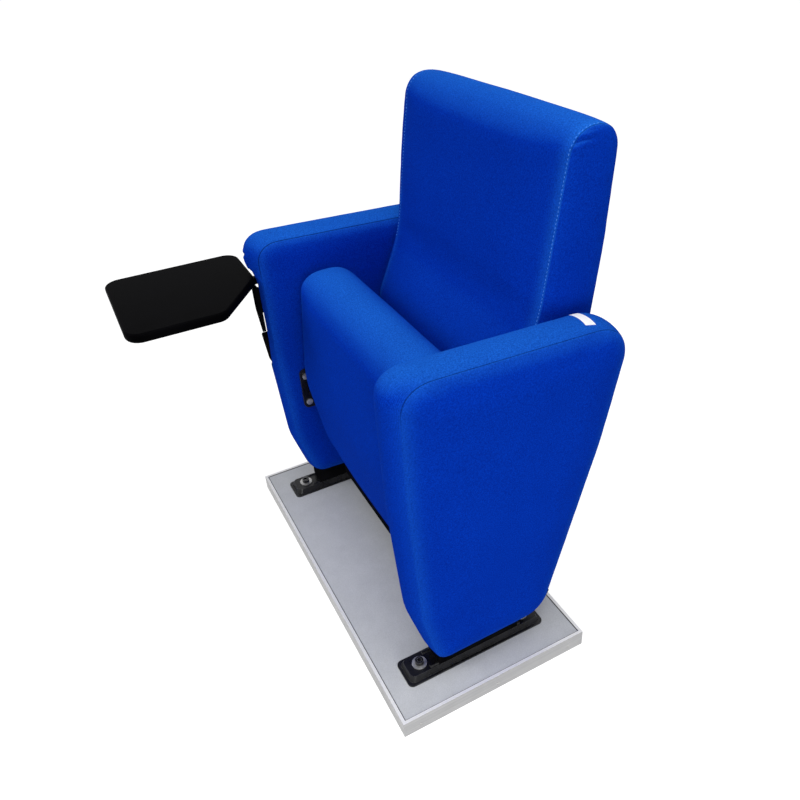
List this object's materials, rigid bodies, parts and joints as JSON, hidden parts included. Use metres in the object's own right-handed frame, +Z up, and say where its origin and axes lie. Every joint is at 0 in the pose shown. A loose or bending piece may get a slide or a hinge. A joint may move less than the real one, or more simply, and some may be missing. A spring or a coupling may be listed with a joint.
{
  "type": "tablet arm chair",
  "caption": "Upholstered tip-up auditorium chair with padded side panels and a folding writing tablet, bolted to a display base.",
  "frame": {"origin": "centre of the base board's underside, on the floor", "axes": "+Z up, the sitter faces -Y, +X to the sitter's left; the tablet is on -X"},
  "size_m": [0.824, 0.7191, 0.954],
  "materials": {
    "blue_fabric": "woven",
    "plywood": "raw",
    "black_steel": "satin powder coat",
    "zinc": "zinc plated",
    "black_bolt": "black oxide",
    "black_plastic": "matte",
    "tablet_plastic": "satin",
    "nylon": "matte",
    "aluminium": "satin anodised",
    "laminate": "satin"
  },
  "bodies": {
    "frame": {"anchor_bolts": "black_bolt", "anchor_washers": "zinc", "back_board": "plywood", "back_bolts": "zinc", "back_cushion": "blue_fabric", "base_board": "laminate", "base_trim_front": "aluminium", "base_trim_left": "aluminium", "base_trim_rear": "aluminium", "base_trim_right": "aluminium", "bracket_screws": "zinc", "channel_block": "black_plastic", "flip_pin": "zinc", "left_back_bracket": "black_steel", "left_foot": "black_steel", "left_panel_core": "plywood", "left_panel_cushion": "blue_fabric", "left_panel_shoe": "black_plastic", "left_pivot_pin": "zinc", "left_pivot_plate": "black_steel", "left_upright": "black_steel", "pivot_screws": "zinc", "right_back_bracket": "black_steel", "right_foot": "black_steel", "right_panel_core": "plywood", "right_panel_cushion": "blue_fabric", "right_panel_shoe": "black_plastic", "right_pivot_pin": "zinc", "right_pivot_plate": "black_steel", "right_upright": "black_steel", "tablet_bracket": "black_steel", "tablet_channel": "black_steel", "tablet_cover": "black_plastic"},
    "seat": {"seat_board": "plywood", "seat_cushion": "blue_fabric", "seat_rear_cap": "black_plastic", "left_seat_hinge": "zinc", "right_seat_hinge": "zinc", "left_pivot_bush": "nylon", "right_pivot_bush": "nylon", "left_spring_cartridge": "black_plastic", "right_spring_cartridge": "black_plastic"},
    "tablet_knuckle": {"tablet_knuckle": "black_steel", "swing_stud": "zinc", "friction_washer": "nylon"},
    "tablet": {"tablet_board": "tablet_plastic", "tablet_arm": "black_steel", "tablet_screws": "zinc"}
  },
  "joints": [
    {"name": "seat_tip", "type": "hinge", "parent": "frame", "child": "seat", "pos_m": [0, -0.052, 0.336], "axis": [1, 0, 0], "range_deg": [0, 85], "stiffness_Nm_per_rad": 4},
    {"name": "tablet_flip", "type": "hinge", "parent": "frame", "child": "tablet_knuckle", "pos_m": [-0.32, -0.118, 0.556], "axis": [0, -1, 0], "range_deg": [0, 90]},
    {"name": "tablet_swing", "type": "hinge", "parent": "tablet_knuckle", "child": "tablet", "pos_m": [-0.32, -0.118, 0.586], "axis": [0, 0, -1], "range_deg": [0, 90]}
  ]
}
